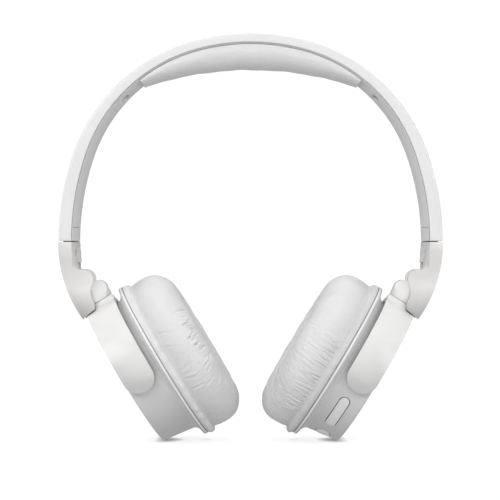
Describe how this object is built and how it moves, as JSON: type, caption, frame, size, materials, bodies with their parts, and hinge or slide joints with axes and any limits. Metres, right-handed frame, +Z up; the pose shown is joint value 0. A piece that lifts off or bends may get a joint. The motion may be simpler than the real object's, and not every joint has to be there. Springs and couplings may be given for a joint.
{
  "type": "folding wireless headphones",
  "caption": "Folding wireless headphones with a padded headband, sliding arms, swivelling yokes, round cushioned ear cups, a volume rocker and a power button.",
  "frame": {"origin": "on the surface that the two cups stand on, midway between them", "axes": "+X to the right in the front view, -Y towards the front, +Z up through the crown of the headband"},
  "size_m": [0.1632, 0.0726, 0.1737],
  "materials": {
    "band_plastic": "satin white",
    "liner_plastic": "fine matte white",
    "pad_leather": "soft white leatherette",
    "cushion_leather": "soft white leatherette with creases",
    "yoke_plastic": "glossy white",
    "cup_plastic": "satin white",
    "cap_plastic": "matte white",
    "button_plastic": "satin white",
    "steel": "brushed",
    "magnet": "nickel plated",
    "dark_plastic": "matte black",
    "driver_film": "thin translucent film",
    "speaker_cloth": "fine woven cloth",
    "cushion_clip_plastic": "matte",
    "battery_wrap": "shrink wrap",
    "circuit_laminate": "solder mask",
    "light_pipe": "frosted"
  },
  "bodies": {
    "headband": {"headband_shell": "band_plastic", "headband_liner": "liner_plastic", "headband_spring": "steel", "headband_pad": "pad_leather", "left_slider_guide": "liner_plastic", "right_slider_guide": "liner_plastic", "slider_stop_pins": "steel"},
    "left_slider": {"left_slider_strip": "steel", "left_arm": "band_plastic", "left_arm_cover": "liner_plastic", "left_arm_screw": "steel", "left_fold_pin": "steel"},
    "left_hinge": {"left_knuckle": "yoke_plastic", "left_swivel_pin": "steel", "left_swivel_clip": "steel"},
    "left_ring": {"left_yoke": "yoke_plastic", "left_tilt_pins": "steel"},
    "left_cup": {"left_cup_shell": "cup_plastic", "left_cup_cap": "cap_plastic", "left_baffle": "cup_plastic", "left_baffle_screws": "steel", "left_driver_frame": "dark_plastic", "left_driver_magnet": "magnet", "left_driver_cone": "driver_film", "left_driver_cloth": "speaker_cloth", "left_cushion_plate": "cushion_clip_plastic", "left_ear_cushion": "cushion_leather", "left_battery": "battery_wrap"},
    "right_slider": {"right_slider_strip": "steel", "right_arm": "band_plastic", "right_arm_cover": "liner_plastic", "right_arm_screw": "steel", "right_fold_pin": "steel"},
    "right_hinge": {"right_knuckle": "yoke_plastic", "right_swivel_pin": "steel", "right_swivel_clip": "steel"},
    "right_ring": {"right_yoke": "yoke_plastic", "right_tilt_pins": "steel"},
    "right_cup": {"right_cup_shell": "cup_plastic", "right_cup_cap": "cap_plastic", "right_baffle": "cup_plastic", "right_baffle_screws": "steel", "right_driver_frame": "dark_plastic", "right_driver_magnet": "magnet", "right_driver_cone": "driver_film", "right_driver_cloth": "speaker_cloth", "right_cushion_plate": "cushion_clip_plastic", "right_ear_cushion": "cushion_leather", "right_circuit_board": "circuit_laminate", "right_charging_port": "steel", "right_rocker_pin": "steel", "right_key_switches": "dark_plastic", "right_status_light": "light_pipe", "right_microphone": "dark_plastic"},
    "volume_rocker": {"right_volume_rocker": "button_plastic"},
    "power_button": {"right_power_button": "button_plastic"}
  },
  "joints": [
    {"name": "left_extend", "type": "slide", "parent": "headband", "child": "left_slider", "axis": [0, 0, -1], "range_m": [0, 0.02]},
    {"name": "left_fold", "type": "hinge", "parent": "left_slider", "child": "left_hinge", "pos_m": [-0.07086, 0, 0.06349], "axis": [0, 1, 0], "range_deg": [-77, 0]},
    {"name": "left_swivel", "type": "hinge", "parent": "left_hinge", "child": "left_ring", "pos_m": [-0.0652, 0, 0.05931], "axis": [-0.515, 0, 0.8572], "range_deg": [0, 90]},
    {"name": "left_tilt", "type": "hinge", "parent": "left_ring", "child": "left_cup", "pos_m": [-0.04666, 0, 0.02845], "axis": [0, 1, 0], "range_deg": [-1.5, 10]},
    {"name": "right_extend", "type": "slide", "parent": "headband", "child": "right_slider", "axis": [0, 0, -1], "range_m": [0, 0.02]},
    {"name": "right_fold", "type": "hinge", "parent": "right_slider", "child": "right_hinge", "pos_m": [0.07086, 0, 0.06349], "axis": [0, 1, 0], "range_deg": [0, 77]},
    {"name": "right_swivel", "type": "hinge", "parent": "right_hinge", "child": "right_ring", "pos_m": [0.0652, 0, 0.05931], "axis": [0.515, 0, 0.8572], "range_deg": [-90, 0]},
    {"name": "right_tilt", "type": "hinge", "parent": "right_ring", "child": "right_cup", "pos_m": [0.04666, 0, 0.02845], "axis": [0, 1, 0], "range_deg": [-10, 1.5]},
    {"name": "volume_rock", "type": "hinge", "parent": "right_cup", "child": "volume_rocker", "pos_m": [0.037, -0.02244, 0.01452], "axis": [-0.8572, 0, 0.515], "range_deg": [-2.5, 2.5], "stiffness_Nm_per_rad": 0.05},
    {"name": "power_press", "type": "slide", "parent": "right_cup", "child": "power_button", "axis": [0.4925, 0.2924, 0.8197], "range_m": [0, 0.0006], "stiffness_N_per_m": 300}
  ]
}
